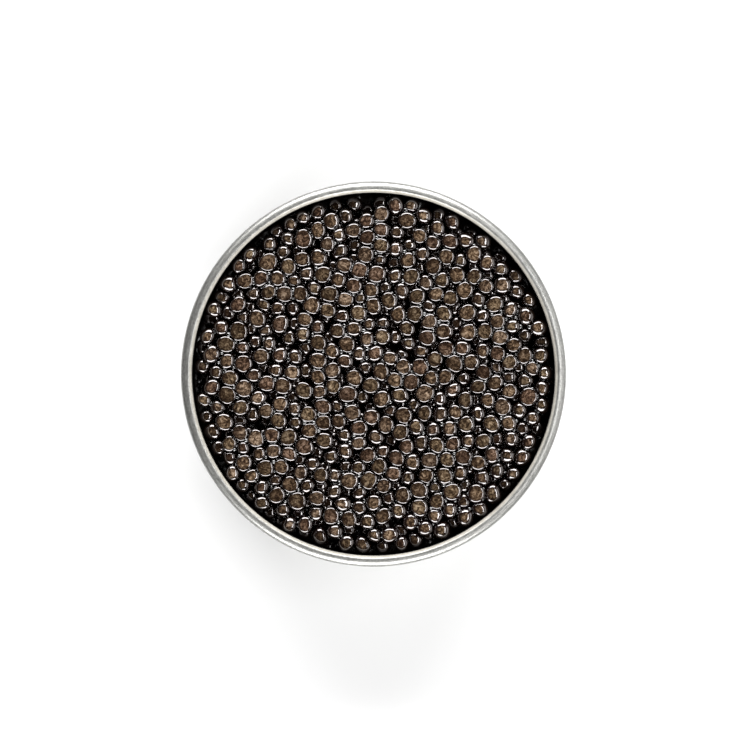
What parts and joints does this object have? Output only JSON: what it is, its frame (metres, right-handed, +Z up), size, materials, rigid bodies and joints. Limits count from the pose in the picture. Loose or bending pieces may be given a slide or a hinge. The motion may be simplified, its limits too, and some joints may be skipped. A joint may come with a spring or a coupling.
{
  "type": "open tin of sturgeon caviar",
  "caption": "Round shallow metal tin with a rolled rim, open and filled nearly to the rim with dark glossy sturgeon roe pressed flat on top.",
  "frame": {"origin": "centre of the tin's foot ring, on the surface that it stands on", "axes": "+Z up through the open mouth of the tin, +X to the picture's right, +Y to the picture's top"},
  "size_m": [0.06, 0.06, 0.022],
  "materials": {
    "tin": "satin rolled tinplate, with a cream lacquer on the inner side",
    "caviar": "wet glossy roe, dark brown tops and near-black sides"
  },
  "bodies": {
    "root": {"tin": "tin", "caviar": "caviar"}
  },
  "joints": []
}
